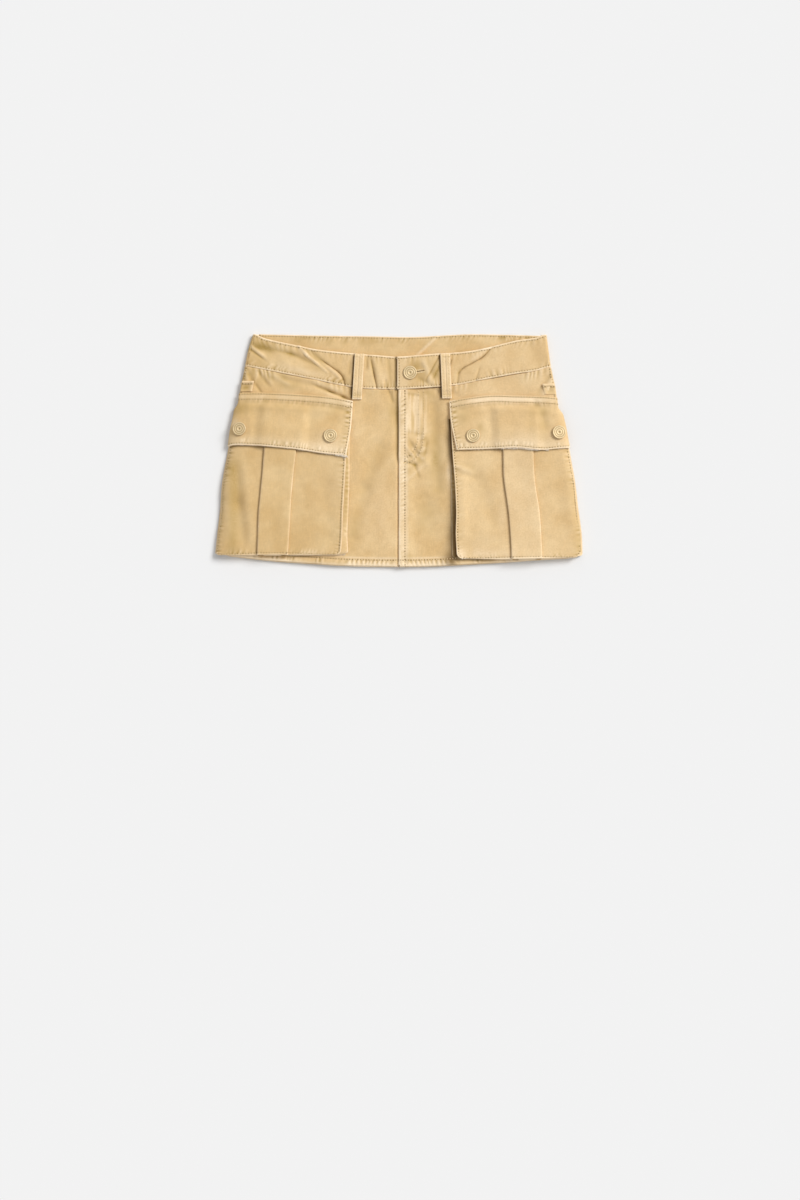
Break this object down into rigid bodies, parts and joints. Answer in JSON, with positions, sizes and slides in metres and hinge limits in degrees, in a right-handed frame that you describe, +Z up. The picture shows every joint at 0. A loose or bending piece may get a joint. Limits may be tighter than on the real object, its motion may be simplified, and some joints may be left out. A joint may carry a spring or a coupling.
{
  "type": "cargo utility skirt",
  "caption": "Short low-rise cotton skirt laid flat, with flapped bellows pockets, box pleats, belt loops and a buttoned front.",
  "frame": {"origin": "on the surface that the skirt lies on, under the middle of its outline", "axes": "+X across the skirt to the side where the fly edge laps on top, +Y towards the waist, +Z up from the surface"},
  "size_m": [0.4591, 0.2909, 0.0186],
  "materials": {
    "twill": "garment-washed khaki cotton twill, matt, paler along worn seams and edges",
    "thread": "khaki cotton sewing thread, matt",
    "button_metal": "aged brass tack buttons with a soft worn sheen"
  },
  "bodies": {
    "root": {"back_panel": "twill", "front_panel_left": "twill", "front_panel_right": "twill", "waistband_back": "twill", "waistband_front_left": "twill", "waistband_front_right": "twill", "belt_loop_left": "twill", "belt_loop_right": "twill", "side_patch_left": "twill", "side_patch_right": "twill", "pocket_panel_left": "twill", "pocket_panel_right": "twill", "pocket_gusset_left": "twill", "pocket_gusset_right": "twill", "pocket_flap_left": "twill", "pocket_flap_right": "twill", "waist_button": "button_metal", "flap_button_left_outer": "button_metal", "flap_button_left_inner": "button_metal", "flap_button_right_inner": "button_metal", "flap_button_right_outer": "button_metal"}
  },
  "joints": []
}
